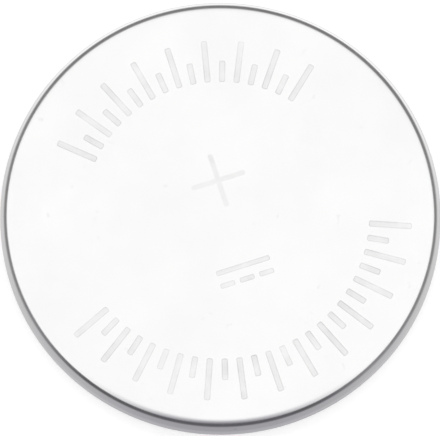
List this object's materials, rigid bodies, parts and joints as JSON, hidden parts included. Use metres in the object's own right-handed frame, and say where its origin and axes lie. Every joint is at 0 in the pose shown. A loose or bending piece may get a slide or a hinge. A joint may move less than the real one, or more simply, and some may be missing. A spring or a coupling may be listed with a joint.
{
  "type": "lithium coin cell",
  "caption": "Flat round rechargeable battery cell: a crimped steel can, a cap sealed by a gasket ring, and folded electrodes inside.",
  "frame": {"origin": "centre of the negative contact face, in the plane that the cell rests on", "axes": "+Z runs from the negative contact face to the positive face; -Y points to the viewer of the picture, +X to the picture's right"},
  "size_m": [0.02, 0.02, 0.0016],
  "materials": {
    "can_steel": "satin nickel plating, nearly white in soft light",
    "cap_steel": "satin nickel plating",
    "gasket_plastic": "milky polypropylene",
    "aluminium_foil": "plain rolled foil",
    "copper_foil": "plain rolled copper foil",
    "cathode_black": "pressed black powder coating",
    "graphite": "pressed graphite coating",
    "separator_film": "white porous film"
  },
  "bodies": {
    "root": {"positive_can": "can_steel", "gasket": "gasket_plastic", "negative_cap": "cap_steel", "cathode_foil": "aluminium_foil", "cathode_coating": "cathode_black", "anode_foil": "copper_foil", "anode_coating": "graphite", "separator_1": "separator_film", "separator_2": "separator_film", "separator_3": "separator_film", "separator_4": "separator_film", "separator_5": "separator_film"}
  },
  "joints": []
}
